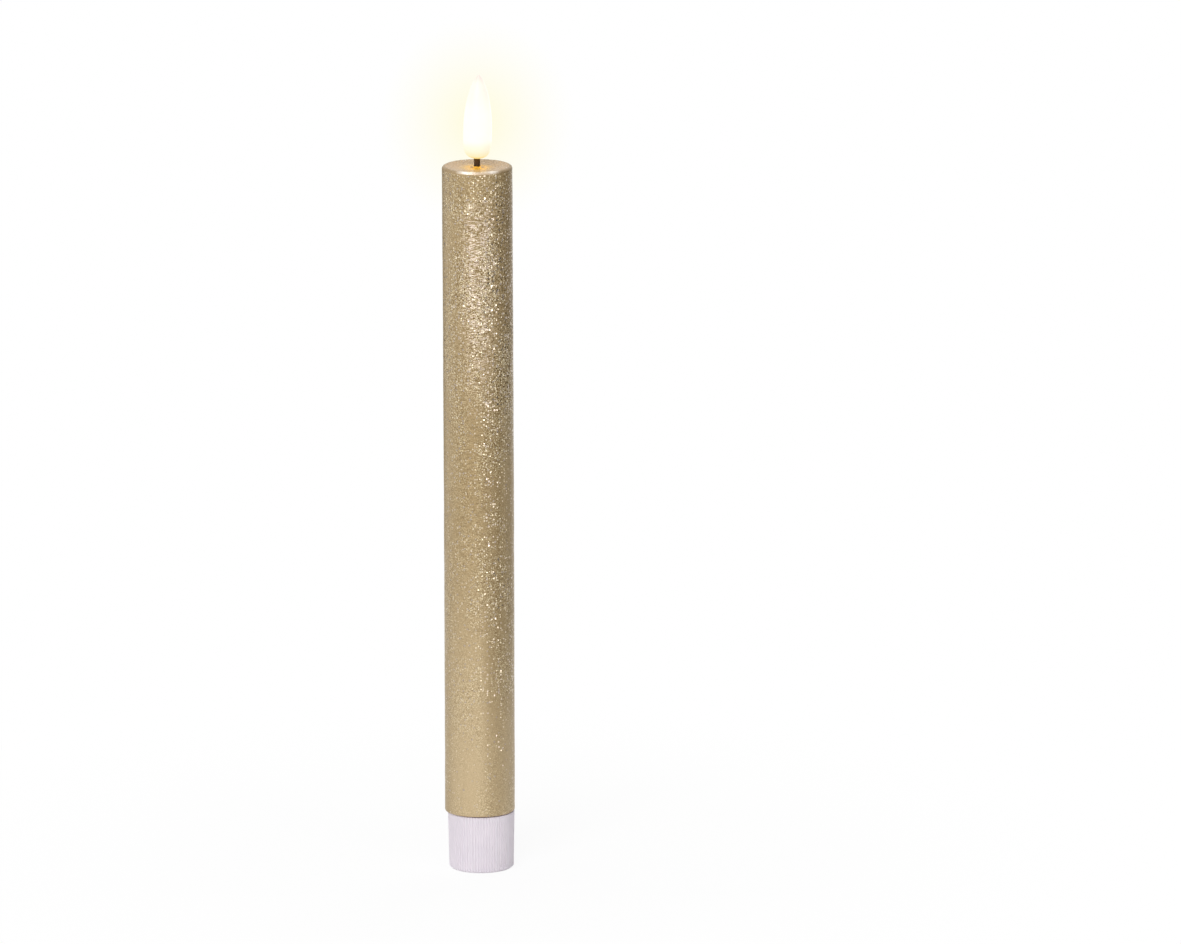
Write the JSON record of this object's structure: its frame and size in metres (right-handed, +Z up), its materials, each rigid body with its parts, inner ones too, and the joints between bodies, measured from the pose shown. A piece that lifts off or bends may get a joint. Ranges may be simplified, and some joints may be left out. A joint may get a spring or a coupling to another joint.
{
  "type": "flameless led dinner candle",
  "caption": "Slim battery dinner candle: gold metallic wax sleeve, glowing flame on a short wick, ribbed screw cap with a slide switch, and a bay for cells in line.",
  "frame": {"origin": "centre of the screw cap's flat foot, on the surface that the candle stands on", "axes": "+Z up along the candle, from the cap's foot to the flame's tip; +X is the direction in which the switch lever slides from ON to OFF, and the way the flame leans"},
  "size_m": [0.022, 0.022, 0.2546],
  "materials": {
    "gold_wax": "satin",
    "ivory_plastic": "satin",
    "glowing_flame": "satin",
    "black_wick": "matte",
    "led_resin": "gloss",
    "tinned_steel": "satin",
    "green_board": "satin",
    "black_plastic": "satin",
    "aluminium_can": "satin",
    "red_insulation": "satin",
    "black_insulation": "satin",
    "white_plastic": "satin",
    "contact_metal": "satin",
    "cell_can": "satin",
    "cap_plastic": "satin",
    "switch_metal": "satin"
  },
  "bodies": {
    "cap": {"screw_cap": "cap_plastic", "cap_board": "green_board", "board_screws": "tinned_steel", "contact_ring": "contact_metal", "negative_spring": "tinned_steel", "switch_case": "switch_metal", "switch_pins": "contact_metal"},
    "switch": {"switch_lever": "black_plastic"},
    "cells": {"lower_cell": "cell_can", "upper_cell": "cell_can"},
    "candle": {"wax_sleeve": "gold_wax", "inner_tube": "ivory_plastic", "top_plug": "ivory_plastic", "flame_shell": "glowing_flame", "wick_sleeve": "black_wick", "led_body": "led_resin", "led_leads": "tinned_steel", "circuit_board": "green_board", "timer_chip": "black_plastic", "resistor": "black_plastic", "capacitor": "aluminium_can", "red_wire": "red_insulation", "black_wire": "black_insulation", "cell_housing": "white_plastic", "housing_end_plug": "white_plastic", "positive_contact": "contact_metal", "contact_strip": "contact_metal"}
  },
  "joints": [
    {"name": "switch_slide", "type": "slide", "parent": "cap", "child": "switch", "axis": [1, 0, 0], "range_m": [0, 0.002]},
    {"name": "candle_turn", "type": "hinge", "parent": "cap", "child": "cells", "pos_m": [0, 0, 0.0115], "axis": [0, 0, 1], "range_deg": [0, 720]},
    {"name": "candle_lift", "type": "slide", "parent": "cells", "child": "candle", "axis": [0, 0, 1], "range_m": [0, 0.006]}
  ],
  "couplings": [
    {"joint": "candle_lift", "follows": "candle_turn", "m_per_rad": 0.00047746}
  ]
}
